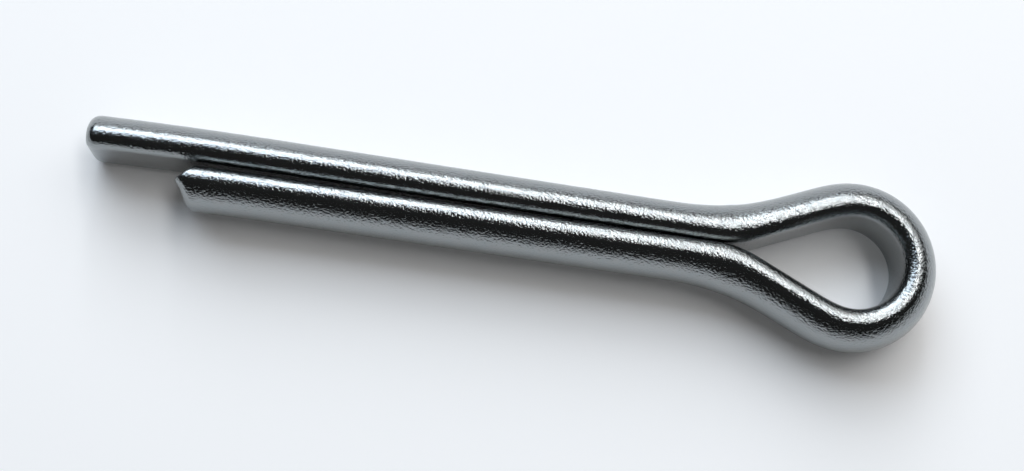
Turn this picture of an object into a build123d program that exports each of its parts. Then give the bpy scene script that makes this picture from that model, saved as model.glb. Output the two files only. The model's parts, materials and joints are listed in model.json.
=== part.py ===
"""Split pin: one length of half-round steel wire folded flat to flat, with a teardrop eye.

Millimetres, +Z up. The pin lies on its side, so the eye and both legs lie in the XY plane.
The shank's axis is X. The origin is on it where the flats part, under the eye: the legs
run towards -X, the long one on the +Y side, and the eye is towards +X.
"""
from build123d import *
import os
from math import cos, degrees, radians, sin, sqrt

# The wire: just under a half round, flat on the inside of the fold, so that two make a round shank
wire_radius = 1.85  # of the round outside
wire_crown = -0.04  # centre of that round, above the flat
wire_edge = 0.35  # radius of the two long edges beside the flat

# The legs
neck_gap = 0.04  # between the flats where they part
leg_splay = 0.25  # degrees that each leg leans away from the axis
short_leg = 25.0  # from the neck to the tip, along the wire
long_leg = 29.4
bowed_length = 4.0  # of the short leg, at its tip, where both legs bow slightly to the same side
bow_radius = 234.0
straight_length = short_leg - bowed_length  # of both legs, from the neck

# The eye
shoulder_radius = 2.75  # of the flat, where each leg turns out into the eye
arm_angle = 23.6  # degrees between each arm of the eye and the axis
eye_radius = 2.19  # of the flat, round the end of the eye

# The cut ends
long_tip_round = 0.3
short_tip_round = 0.12
short_tip_bevel = 0.55  # on the short leg's inside corner, where a tool gets between the legs


def wire_section():
    """The wire's cross-section in the YZ plane: the flat is on Z, and the round is towards +Y."""
    height = sqrt((wire_radius - wire_edge) ** 2 - (wire_edge - wire_crown) ** 2)
    reach = wire_radius / (wire_radius - wire_edge)
    side = (wire_crown + (wire_edge - wire_crown) * reach, height * reach)
    bend = wire_edge * sqrt(0.5)
    edge = (wire_edge - bend, height + bend)
    with BuildSketch(Plane.YZ) as section:
        with BuildLine():
            Line((0, -height), (0, height))
            ThreePointArc((0, height), edge, side)
            ThreePointArc(side, (wire_crown + wire_radius, 0), (side[0], -side[1]))
            ThreePointArc((side[0], -side[1]), (edge[0], -edge[1]), (0, -height))
        make_face()
    return section.sketch


def straight(length):
    """A straight stretch of wire along +X, and where it ends."""
    return extrude(wire_section(), amount=length, dir=(1, 0, 0)), Pos(length, 0, 0)


def bent(radius, angle):
    """A stretch of wire whose flat turns by an angle in degrees, and where it ends.

    A turn to the left, over the round side, has a positive angle.
    """
    turn = 1 if angle > 0 else -1
    centre = (0, turn * radius, 0)
    axis = Axis(centre, (0, 0, turn))
    solid = revolve(wire_section(), axis=axis, revolution_arc=abs(angle))
    return solid, Pos(*centre) * Rot(0, 0, angle) * Pos(0, -turn * radius, 0)


def chain(place, stretches):
    """Stretches of wire laid end to end from a place."""
    solids = []
    for solid, end in stretches:
        solids.append(place * solid)
        place = place * end
    return solids


def eye():
    """The shoulders, the arms and the round end, from the long leg's neck to the short leg's."""
    rise = shoulder_radius * (cos(radians(leg_splay)) - cos(radians(arm_angle)))
    arm_rise = eye_radius * cos(radians(arm_angle)) - neck_gap / 2 - rise
    shoulder = bent(shoulder_radius, arm_angle + leg_splay)
    arm = straight(arm_rise / sin(radians(arm_angle)))
    end = bent(eye_radius, -(180 + 2 * arm_angle))
    start = Pos(0, neck_gap / 2, 0) * Rot(0, 0, -leg_splay)
    return chain(start, [shoulder, arm, end, arm, shoulder])


def end_face(solid):
    """The cut face at the tip of a leg, which runs towards -X."""
    return solid.faces().sort_by(Axis.X)[0]


def bevelled(solid, width):
    """The end of a leg on the -Y side, with the inside corner of its cut face taken off."""
    corner = end_face(solid).edges().sort_by(Axis.Y)[-1] @ 0.5
    size = 4 * wire_radius
    cutter = Pos(size / 2 - width * sqrt(0.5), 0, 0) * Box(size, size, size)
    return solid - Pos(corner) * Rot(0, 0, 135) * cutter


def leg(length, bow):
    """A leg on the -Y side, from the neck to its cut end, which bows to its round side.

    With bow -1 it bows to its flat side instead.
    """
    bow_angle = bow * degrees((length - straight_length) / bow_radius)
    start = Pos(0, -neck_gap / 2, 0) * Rot(0, 0, 180 + leg_splay)
    return chain(start, [straight(straight_length), bent(bow_radius, bow_angle)])


def pin():
    """The whole pin as one solid."""
    long_run, long_end = leg(long_leg, -1)
    long_end = fillet(end_face(long_end).edges(), long_tip_round)
    short_run, short_end = leg(short_leg, 1)
    short_end = fillet(end_face(short_end).edges(), short_tip_round)
    short_end = bevelled(short_end, short_tip_bevel)
    mirrored = [mirror(solid, about=Plane.XZ) for solid in (long_run, long_end)]
    wire, *rest = eye() + mirrored + [short_run, short_end]
    return wire.fuse(*rest)


os.makedirs("parts", exist_ok=True)
export_step(pin(), "parts/cotter_pin.step")
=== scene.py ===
"""The looks of a split pin: bright zinc plate on drawn half-round steel wire, folded cold.

Metres, in the part's own frame: the legs run towards -X, the long one on the +Y side, and the
eye is towards +X. The wire follows the same rule as the solid: from the long leg's tip to the
neck, out over a shoulder, up an arm, round the end of the eye, and back to the short leg's tip.
"""
import bpy
import json
import numpy as np
from math import atan2, ceil, cos, pi, radians, sin, sqrt
from mathutils import Matrix, Vector


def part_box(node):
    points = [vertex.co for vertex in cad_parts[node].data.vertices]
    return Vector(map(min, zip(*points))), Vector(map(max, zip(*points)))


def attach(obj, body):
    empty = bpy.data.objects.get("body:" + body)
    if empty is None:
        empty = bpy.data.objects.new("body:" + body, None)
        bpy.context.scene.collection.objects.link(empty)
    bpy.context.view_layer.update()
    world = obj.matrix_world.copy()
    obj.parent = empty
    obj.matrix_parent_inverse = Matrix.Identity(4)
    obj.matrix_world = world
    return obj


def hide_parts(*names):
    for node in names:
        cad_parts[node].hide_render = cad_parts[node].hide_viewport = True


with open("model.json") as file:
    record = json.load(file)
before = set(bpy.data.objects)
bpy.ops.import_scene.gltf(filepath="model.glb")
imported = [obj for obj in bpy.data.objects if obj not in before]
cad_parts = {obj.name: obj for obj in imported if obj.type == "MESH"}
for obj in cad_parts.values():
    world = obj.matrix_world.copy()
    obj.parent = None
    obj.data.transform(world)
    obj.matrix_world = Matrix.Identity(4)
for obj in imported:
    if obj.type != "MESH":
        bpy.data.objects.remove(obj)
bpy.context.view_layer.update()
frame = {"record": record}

MM = 0.001
MOUNTS = {mount["name"]: mount["dims"] for mount in frame["record"]["mounts"]}

# The wire, as in the solid
WIRE_RADIUS = MOUNTS["shank"]["r_mm"] * MM
WIRE_CROWN = -0.04 * MM
WIRE_EDGE = 0.62 * MM  # more worn and rounded than the solid's
WIRE_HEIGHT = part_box("cotter_pin")[1][2]
NECK_GAP = 0.04 * MM
LEG_SPLAY = radians(0.25)
STRAIGHT_LENGTH = MOUNTS["shank"]["length_mm"] * MM
SHORT_LEG = 25.0 * MM
LONG_LEG = 29.4 * MM
BOW_RADIUS = 234.0 * MM
SHOULDER_RADIUS = 2.75 * MM
ARM_ANGLE = radians(23.6)
EYE_RADIUS = MOUNTS["eye"]["r_mm"] * MM
BEND_SPREAD = 0.55 * MM

# What forming did to it
NECK_SWELL = 0.12  # of the thickness, where the shoulders were squeezed over the former
SWELL_PLACE = 0.46 * MM
SWELL_REACH = 1.5 * MM
LONG_TIP_ROUND = 0.5 * MM
SHORT_TIP_ROUND = 0.42 * MM
SHORT_TIP_BEVEL = 0.84 * MM
SHORT_TIP_SLANT = 0.45  # of the cut beyond its middle, which left the round side a little shorter
SHORT_TIP_LEAN = 0.3  # of the bevel, which is wider towards the top
BURR_LENGTH = 0.16 * MM  # of the lip that the cutter turned up beyond the bevel
BURR_WIDTH = 0.2 * MM
TIP_REACH = 1.5 * MM
TIP_SHRINK = 1.3  # how much faster than true the section draws in at a rounded tip
SECTION_MIDDLE = 0.45  # of the wire's radius out from the flat
RELIEF_DEPTH = 0.006 * MM
RELIEF_SIZE = 0.7 * MM
RELIEF_SEED = 3.0

# The plate and the marks of drawing and bending
GRAIN_SIZE = 0.11 * MM
GRAIN_DEPTH = 0.031 * MM
SWELL_SIZE = 0.45 * MM
SWELL_DEPTH = 0.004 * MM
DRAWN_LINE_DEPTH = 0.001 * MM
EYE_MARK_DEPTH = 0.02 * MM

# How finely the wire is modelled
RING_STEP = 0.088 * MM
TIP_RINGS = 14
RING_POINTS = 96
OUTLINE_STEPS = 400  # of each arc of the section, before it is evened out
BOX_MARGIN = 0.01 * MM

# The view: from above, turned so that the pin runs down to the right
VIEW_CENTRE = Vector((-9.68, -0.86, 0.0)) * MM
VIEW_DISTANCE = 78.2 * MM
VIEW_TILT = radians(13.69)
VIEW_TURN = radians(1.52)
VIEW_ROLL = radians(-7.94)
LENS = 59.8


def linear(hex_colour):
    """An sRGB hex colour as linear RGBA."""
    values = [int(hex_colour[i:i + 2], 16) / 255 for i in (1, 3, 5)]
    return [v / 12.92 if v <= 0.04045 else ((v + 0.055) / 1.055) ** 2.4 for v in values] + [1.0]


def add(tree, kind, inputs=None, **settings):
    """A node with its settings, and its inputs set to values or linked to sockets."""
    node = tree.nodes.new(kind)
    for name, value in settings.items():
        setattr(node, name, value)
    for key, value in (inputs or {}).items():
        if isinstance(value, bpy.types.NodeSocket):
            tree.links.new(value, node.inputs[key])
        else:
            node.inputs[key].default_value = value
    return node


# ---- The line and the section of the wire

def line_of_wire():
    """The flat's middle line: for each ring its place (x, y), its heading and its length along."""
    rise = SHOULDER_RADIUS * (cos(LEG_SPLAY) - cos(ARM_ANGLE))
    arm = (EYE_RADIUS * cos(ARM_ANGLE) - NECK_GAP / 2 - rise) / sin(ARM_ANGLE)
    shoulder = (SHOULDER_RADIUS * (ARM_ANGLE + LEG_SPLAY), ARM_ANGLE + LEG_SPLAY)
    end_turn = pi + 2 * ARM_ANGLE
    long_bow = LONG_LEG - STRAIGHT_LENGTH
    short_bow = SHORT_LEG - STRAIGHT_LENGTH
    stretches = np.array([
        (0, 0), (long_bow, -long_bow / BOW_RADIUS), (STRAIGHT_LENGTH, 0),
        shoulder, (arm, 0), (EYE_RADIUS * end_turn, -end_turn), (arm, 0), shoulder,
        (STRAIGHT_LENGTH, 0), (short_bow, short_bow / BOW_RADIUS)])
    ends, turns = np.cumsum(stretches, axis=0).T
    total = ends[-1]
    tip = np.linspace(0, 1, TIP_RINGS, endpoint=False) ** 1.5 * LONG_TIP_ROUND
    middle = np.linspace(LONG_TIP_ROUND, total - LONG_TIP_ROUND, ceil(total / RING_STEP))
    along = np.concatenate([tip, middle, total - tip[::-1]])
    # real bends run into the straights, so the turns are spread a little
    spread = np.linspace(-2, 2, 17)
    weight = np.exp(-spread ** 2 / 2)
    heading = sum(w * np.interp(along + t * BEND_SPREAD, ends, turns)
                  for w, t in zip(weight / weight.sum(), spread)) - turns[2] - LEG_SPLAY
    steps = np.diff(along)
    between = (heading[1:] + heading[:-1]) / 2
    x = np.concatenate([[0], np.cumsum(steps * np.cos(between))])
    y = np.concatenate([[0], np.cumsum(steps * np.sin(between))])
    x -= np.interp(LONG_LEG, along, x)
    y -= np.interp(LONG_LEG, along, y) - NECK_GAP / 2
    back = total - SHORT_LEG
    closing = -NECK_GAP / 2 - np.interp(back, along, y)
    y += closing * np.clip((along - LONG_LEG) / (back - LONG_LEG), 0, 1)
    return x, y, heading, along


def wire_outline():
    """The section as points evenly spaced round it: how far out from the flat, and how far up."""
    height = sqrt((WIRE_RADIUS - WIRE_EDGE) ** 2 - (WIRE_EDGE - WIRE_CROWN) ** 2)
    side = atan2(height, WIRE_EDGE - WIRE_CROWN)
    turn = np.linspace(-side, side, OUTLINE_STEPS)
    edge = np.linspace(side, pi, OUTLINE_STEPS)
    out = [WIRE_CROWN + WIRE_RADIUS * np.cos(turn), WIRE_EDGE + WIRE_EDGE * np.cos(edge),
           WIRE_EDGE + WIRE_EDGE * np.cos(edge[::-1])]
    up = [WIRE_RADIUS * np.sin(turn), height + WIRE_EDGE * np.sin(edge),
          -height - WIRE_EDGE * np.sin(edge[::-1])]
    out, up = np.append(np.concatenate(out), out[0][0]), np.append(np.concatenate(up), up[0][0])
    up *= WIRE_HEIGHT / up.max()
    run = np.concatenate([[0], np.cumsum(np.hypot(np.diff(out), np.diff(up)))])
    places = np.linspace(0, run[-1], RING_POINTS, endpoint=False)
    return np.interp(places, run, out), np.interp(places, run, up)


# ---- Geometry Nodes

def row_of_points(name, points, values, closed):
    """A mesh of points joined in a row, with named values on them, as an object."""
    edges = [(i, i + 1) for i in range(len(points) - 1)] + [(len(points) - 1, 0)] * closed
    mesh = bpy.data.meshes.new(name)
    mesh.from_pydata([tuple(point) for point in points], edges, [])
    for key, each in values.items():
        mesh.attributes.new(key, "FLOAT", "POINT").data.foreach_set("value", each.astype(np.float32))
    return bpy.data.objects.new(name, mesh)


def tree_with(name, sockets):
    """A Geometry Nodes tree with these named inputs, its input node and a dict of identifiers."""
    tree = bpy.data.node_groups.new(name, "GeometryNodeTree")
    tree.interface.new_socket("Geometry", in_out="OUTPUT", socket_type="NodeSocketGeometry")
    tree.interface.new_socket("Geometry", in_out="INPUT", socket_type="NodeSocketGeometry")
    names = {each: tree.interface.new_socket(each, in_out="INPUT", socket_type=kind).identifier
             for each, kind in sockets.items()}
    return tree, add(tree, "NodeGroupInput").outputs, names


def end_tree(tree, geometry, material):
    """Real, painted geometry as the tree's result."""
    real = add(tree, "GeometryNodeRealizeInstances", {"Geometry": geometry})
    painted = add(tree, "GeometryNodeSetMaterial", {"Geometry": real.outputs[0], "Material": material})
    add(tree, "NodeGroupOutput", {"Geometry": painted.outputs[0]})


def through_tree(piece, tree, names, settings):
    """The piece's mesh after the tree, which doesn't stay on it."""
    modifier = piece.modifiers.new(tree.name, "NODES")
    modifier.node_group = tree
    for key, value in settings.items():
        modifier[names[key]] = value
    bpy.context.view_layer.update()
    graph = bpy.context.evaluated_depsgraph_get()
    mesh = bpy.data.meshes.new_from_object(piece.evaluated_get(graph), depsgraph=graph)
    piece.modifiers.remove(modifier)
    return mesh


def swept_wire():
    """The wire's mesh: its section carried along its line."""
    x, y, heading, along = line_of_wire()
    out, up = wire_outline()
    line = row_of_points("wire_line", np.column_stack([x, y, 0 * x]),
                         {"along": along, "line_x": x, "line_y": y, "heading": heading}, False)
    outline = row_of_points("wire_outline", np.column_stack([out, up, 0 * up]),
                            {"out": out, "up": up, "round": np.arange(RING_POINTS) / RING_POINTS}, True)
    for piece in (line, outline):
        bpy.context.scene.collection.objects.link(piece)
    tree, given, names = tree_with("sweep_along_line", {"Outline": "NodeSocketObject"})
    shape = add(tree, "GeometryNodeObjectInfo", {"Object": given["Outline"]})
    profile = add(tree, "GeometryNodeMeshToCurve", {"Mesh": shape.outputs["Geometry"]})
    curve = add(tree, "GeometryNodeMeshToCurve", {"Mesh": given["Geometry"]})
    level = add(tree, "GeometryNodeSetCurveNormal", {"Curve": curve.outputs[0]}, mode="Z_UP")
    sweep = add(tree, "GeometryNodeCurveToMesh", {
        "Curve": level.outputs[0], "Profile Curve": profile.outputs[0], "Fill Caps": True})
    end_tree(tree, sweep.outputs[0], None)
    mesh = through_tree(line, tree, names, {"Outline": outline})
    for piece in (line, outline):
        bpy.data.objects.remove(piece)
    return mesh


def with_relief(mesh, material):
    """The mesh with the shallow unevenness that plating and tumbling leave, as an object."""
    piece = bpy.data.objects.new("pin_wire", mesh)
    bpy.context.scene.collection.objects.link(piece)
    tree, given, names = tree_with("uneven_surface", {
        "Depth": "NodeSocketFloat", "Scale": "NodeSocketFloat", "Seed": "NodeSocketFloat",
        "Material": "NodeSocketMaterial"})
    noise = add(tree, "ShaderNodeTexNoise", {
        "Scale": given["Scale"], "W": given["Seed"], "Detail": 2.0}, noise_dimensions="4D")
    below = add(tree, "ShaderNodeMath", {0: noise.outputs["Fac"], 1: 1.0}, operation="SUBTRACT")
    depth = add(tree, "ShaderNodeMath", {0: below.outputs[0], 1: given["Depth"]}, operation="MULTIPLY")
    normal = add(tree, "GeometryNodeInputNormal")
    offset = add(tree, "ShaderNodeVectorMath", {0: normal.outputs[0], "Scale": depth.outputs[0]},
                 operation="SCALE")
    moved = add(tree, "GeometryNodeSetPosition", {
        "Geometry": given["Geometry"], "Offset": offset.outputs[0]})
    end_tree(tree, moved.outputs[0], given["Material"])
    settings = {"Depth": RELIEF_DEPTH, "Scale": 1 / RELIEF_SIZE, "Seed": RELIEF_SEED, "Material": material}
    piece.data = through_tree(piece, tree, names, settings)
    return piece


def values_of(mesh, name):
    """One named value of every point of the mesh."""
    values = np.empty(len(mesh.vertices), np.float32)
    mesh.attributes[name].data.foreach_get("value", values)
    return values.astype(float)


def rounded(out, up, distance, reach):
    """The section drawn in towards its middle, where a cut end is rounded over."""
    short = np.clip(1 - distance / reach, 0, 1)
    scale = 1 - reach * (1 - np.sqrt(1 - short ** 2)) / WIRE_RADIUS * TIP_SHRINK
    middle = WIRE_RADIUS * SECTION_MIDDLE
    return middle + (out - middle) * scale, up * scale


def shape_wire(mesh):
    """The wire's exact places, with its swollen necks and its cut ends."""
    along, out, up = (values_of(mesh, name) for name in ("along", "out", "up"))
    x, y, heading = (values_of(mesh, name) for name in ("line_x", "line_y", "heading"))
    total = along.max()
    out = out * (1 + NECK_SWELL * np.exp(-((x - SWELL_PLACE) / SWELL_REACH) ** 2))
    out, up = rounded(out, up, along, LONG_TIP_ROUND)
    out, up = rounded(out, up, total - along, SHORT_TIP_ROUND)
    # the short leg's cut slants, and its inside corner is bevelled
    left = total - along
    near = np.clip(1 - left / TIP_REACH, 0, 1)
    shift = -near * SHORT_TIP_SLANT * np.clip(out - SECTION_MIDDLE * WIRE_RADIUS, 0, None)
    facet = SHORT_TIP_BEVEL + SHORT_TIP_LEAN * (up - WIRE_RADIUS)
    cut = np.clip(facet - (left - shift) - out, 0, None) / 2
    # the lip stands past the bevel's outer corner, on the upper half of the cut
    at_corner = np.exp(-((out - SHORT_TIP_BEVEL) / BURR_WIDTH) ** 2)
    at_end = np.clip(1 - left / (2 * BURR_WIDTH), 0, 1)
    lip = BURR_LENGTH * at_corner * at_end * np.clip(up / WIRE_RADIUS, 0, 1)
    shift, out = shift - cut + lip, out + cut
    place = np.column_stack([
        x - np.sin(heading) * out + np.cos(heading) * shift,
        y + np.cos(heading) * out + np.sin(heading) * shift, up])
    # the spread turns carry the eye out by a hair, so it is drawn back to the solid's reach
    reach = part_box("cotter_pin")[1][0] - BOX_MARGIN
    place[:, 0] = np.where(place[:, 0] > 0, place[:, 0] * reach / place[:, 0].max(), place[:, 0])
    mesh.vertices.foreach_set("co", place.astype(np.float32).ravel())
    for name in ("line_x", "line_y", "heading", "up"):
        mesh.attributes.remove(mesh.attributes[name])
    mesh.update()


def face_outward(mesh):
    """Turns every face over if the closed mesh is inside out."""
    corners = np.empty(len(mesh.vertices) * 3)
    mesh.vertices.foreach_get("co", corners)
    corners = corners.reshape(-1, 3)
    mesh.calc_loop_triangles()
    faces = np.empty(len(mesh.loop_triangles) * 3, int)
    mesh.loop_triangles.foreach_get("vertices", faces)
    a, b, c = corners[faces.reshape(-1, 3)].transpose(1, 0, 2)
    if (a * np.cross(b, c)).sum() < 0:
        mesh.flip_normals()


# ---- Materials

def zinc_plated_steel():
    """Bright zinc plate on drawn wire: a mirror with fine orange peel that breaks its highlights up."""
    material = bpy.data.materials.new("zinc_plated_steel")
    material.use_nodes = True
    tree = material.node_tree
    tree.nodes.clear()
    place = add(tree, "ShaderNodeTexCoord").outputs["Object"]
    # grain of the plate, 0.1 to 0.2 mm across, which makes the edges of highlights ragged
    grain = add(tree, "ShaderNodeTexNoise", {
        "Vector": place, "Scale": 1 / GRAIN_SIZE, "Detail": 2.0, "Roughness": 0.5})
    # slower unevenness, which makes the highlights fade in patches
    swell = add(tree, "ShaderNodeTexNoise", {"Vector": place, "Scale": 1 / SWELL_SIZE, "Detail": 2.0})
    # fine lines that drawing left along the wire, in its own coordinates
    along = add(tree, "ShaderNodeAttribute", attribute_name="along").outputs["Fac"]
    across = add(tree, "ShaderNodeAttribute", attribute_name="round").outputs["Fac"]
    own = add(tree, "ShaderNodeCombineXYZ", {"X": along, "Y": across})
    lines = add(tree, "ShaderNodeMapping", {"Vector": own.outputs[0], "Scale": (150.0, 160.0, 1.0)})
    drawn = add(tree, "ShaderNodeTexNoise", {"Vector": lines.outputs[0], "Scale": 1.0, "Detail": 2.0})
    # the passivation tints the plate a little bluer in some places than in others
    tint = add(tree, "ShaderNodeMix", {
        "Factor": swell.outputs["Fac"], 6: linear("#979898"), 7: linear("#8f9698")}, data_type="RGBA")
    rough = add(tree, "ShaderNodeMapRange", {
        "Value": grain.outputs["Fac"], "From Min": 0.3, "From Max": 0.7, "To Min": 0.1, "To Max": 0.2})
    bump_lines = add(tree, "ShaderNodeBump", {
        "Height": drawn.outputs["Fac"], "Distance": DRAWN_LINE_DEPTH, "Strength": 1.0})
    bump_swell = add(tree, "ShaderNodeBump", {
        "Height": swell.outputs["Fac"], "Distance": SWELL_DEPTH, "Normal": bump_lines.outputs[0]})
    bump_grain = add(tree, "ShaderNodeBump", {
        "Height": grain.outputs["Fac"], "Distance": GRAIN_DEPTH, "Normal": bump_swell.outputs[0]})
    # fine marks across the wire, where the former drew it round the end of the eye
    at_eye = add(tree, "ShaderNodeMapRange", {
        "Value": add(tree, "ShaderNodeSeparateXYZ", {0: place}).outputs["X"],
        "From Min": 6.8 * MM, "From Max": 8.6 * MM, "To Min": 0.0, "To Max": 1.0})
    crosswise = add(tree, "ShaderNodeMapping", {"Vector": own.outputs[0], "Scale": (8000.0, 6.0, 1.0)})
    marks = add(tree, "ShaderNodeTexNoise", {"Vector": crosswise.outputs[0], "Scale": 1.0, "Detail": 1.0})
    bump_marks = add(tree, "ShaderNodeBump", {
        "Height": marks.outputs["Fac"], "Distance": EYE_MARK_DEPTH, "Strength": at_eye.outputs[0],
        "Normal": bump_grain.outputs[0]})
    metal = add(tree, "ShaderNodeBsdfPrincipled", {
        "Base Color": tint.outputs[2], "Metallic": 1.0, "Roughness": rough.outputs[0],
        "Normal": bump_marks.outputs[0]})
    add(tree, "ShaderNodeOutputMaterial", {"Surface": metal.outputs[0]})
    return material


def pale_floor():
    """Plain pale studio table, which looks white and keeps the shadow."""
    material = bpy.data.materials.new("pale_studio_table")
    material.use_nodes = True
    tree = material.node_tree
    tree.nodes.clear()
    paths = add(tree, "ShaderNodeLightPath").outputs
    seen = add(tree, "ShaderNodeMath", {0: paths["Is Camera Ray"], 1: paths["Is Glossy Ray"]}, operation="ADD")
    seen = add(tree, "ShaderNodeMath", {0: seen.outputs[0], 1: paths["Is Transmission Ray"]}, operation="ADD")
    glow = add(tree, "ShaderNodeMath", {0: seen.outputs[0], 1: 0.06}, operation="MULTIPLY")
    table = add(tree, "ShaderNodeBsdfPrincipled", {
        "Base Color": linear("#f8f8f8"), "Roughness": 0.9, "Specular IOR Level": 0.0,
        "Emission Color": (1, 1, 1, 1), "Emission Strength": glow.outputs[0]})
    add(tree, "ShaderNodeOutputMaterial", {"Surface": table.outputs[0]})
    return material


# ---- The pin

mesh = swept_wire()
shape_wire(mesh)
face_outward(mesh)
mesh.polygons.foreach_set("use_smooth", [len(face.vertices) <= 4 for face in mesh.polygons])
pin = with_relief(mesh, zinc_plated_steel())
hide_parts("cotter_pin")
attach(pin, "root")

# ---- The studio

TABLE_RADIUS = 0.45

bpy.ops.mesh.primitive_circle_add(vertices=96, radius=TABLE_RADIUS, fill_type="NGON",
                                  location=(VIEW_CENTRE.x, VIEW_CENTRE.y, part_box("cotter_pin")[0][2]))
floor = bpy.context.object
floor.name = "studio_table"
floor.data.materials.append(pale_floor())

LAMP_HEIGHT = 0.35


def lamp(name, across, along, radiance, colour="#ffffff", lean=0.27):
    """A level lamp facing down, between two slopes seen across from the pin and two along.

    Its length turns away from Y by the lean, another slope.
    """
    skew = sqrt(1 + lean ** 2)
    width, length = (across[1] - across[0]) / skew * LAMP_HEIGHT, (along[1] - along[0]) * LAMP_HEIGHT
    data = bpy.data.lights.new(name, "AREA")
    data.shape, data.size, data.size_y = "RECTANGLE", width, length
    data.energy = radiance * pi * width * length
    data.color = linear(colour)[:3]
    light = bpy.data.objects.new(name, data)
    to_side, lengthwise = Vector((1, lean, 0)) / skew, Vector((-lean, 1, 0)) / skew
    light.location = (to_side * sum(across) / 2 / skew + lengthwise * sum(along) / 2) * LAMP_HEIGHT
    light.location.z = LAMP_HEIGHT
    light.rotation_euler.z = atan2(lean, 1)
    bpy.context.scene.collection.objects.link(light)


lamp("strip_lamp", (0.2, 0.35), (-0.2, 2.9), 9.0)
lamp("soft_box", (0.35, 1.7), (0.1, 2.6), 1.35)
lamp("far_box", (-1.3, -0.03), (0.95, 3.4), 4.8, "#eef6ff", lean=0)
lamp("end_box", (-1.3, -0.16), (0.35, 0.95), 3.4, "#e2f0ff", lean=0)

world = bpy.data.worlds.new("studio")
world.use_nodes = True
world.node_tree.nodes["Background"].inputs["Color"].default_value = (1, 1, 1, 1)
world.node_tree.nodes["Background"].inputs["Strength"].default_value = 0.03
bpy.context.scene.world = world

# ---- The camera

away = Vector((-sin(VIEW_TURN), -sin(VIEW_TILT) * cos(VIEW_TURN), cos(VIEW_TILT) * cos(VIEW_TURN)))
right = Vector((sin(VIEW_ROLL), cos(VIEW_ROLL), 0)).cross(away).normalized()
upward = away.cross(right)
camera_data = bpy.data.cameras.new("camera")
camera_data.lens = LENS
camera_data.clip_start = 0.005
camera = bpy.data.objects.new("camera", camera_data)
camera.matrix_world = Matrix.Translation(VIEW_CENTRE + away * VIEW_DISTANCE) @ \
    Matrix((right, upward, away)).transposed().to_4x4()
bpy.context.scene.collection.objects.link(camera)
bpy.context.scene.camera = camera
bpy.context.scene.view_settings.view_transform = "Standard"
